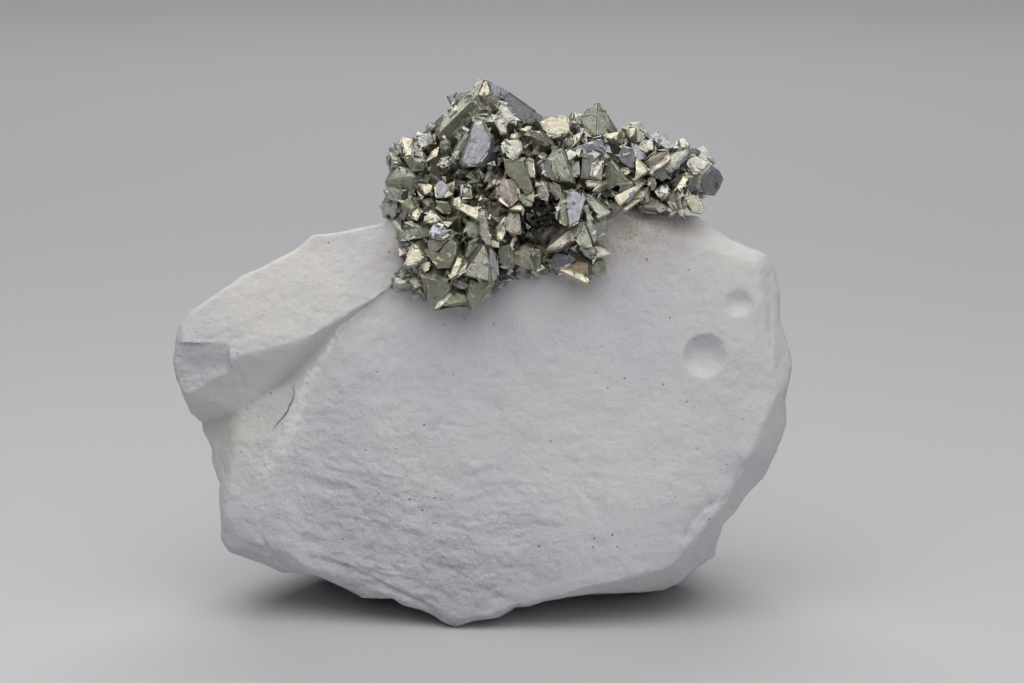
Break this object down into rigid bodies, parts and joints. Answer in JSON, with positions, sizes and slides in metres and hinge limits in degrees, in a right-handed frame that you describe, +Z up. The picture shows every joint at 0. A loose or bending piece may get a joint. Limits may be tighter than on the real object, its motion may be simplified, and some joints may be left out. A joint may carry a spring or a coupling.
{
  "type": "marcasite crystal cluster on chalk",
  "caption": "Hand specimen: a broken block of white chalk that stands on its own flat facet, with a grown-together cluster of sharp marcasite crystals along its upper front edge.",
  "frame": {"origin": "on the flat facet that the block stands on, under the middle of the block", "axes": "+Z up from the resting facet, +X to the viewer's right along the broad front face, -Y towards the viewer"},
  "size_m": [0.0989, 0.0434, 0.0863],
  "materials": {
    "chalk": "matte",
    "marcasite": "satin"
  },
  "bodies": {
    "root": {"chalk_matrix": "chalk", "marcasite_cluster": "marcasite"}
  },
  "joints": []
}
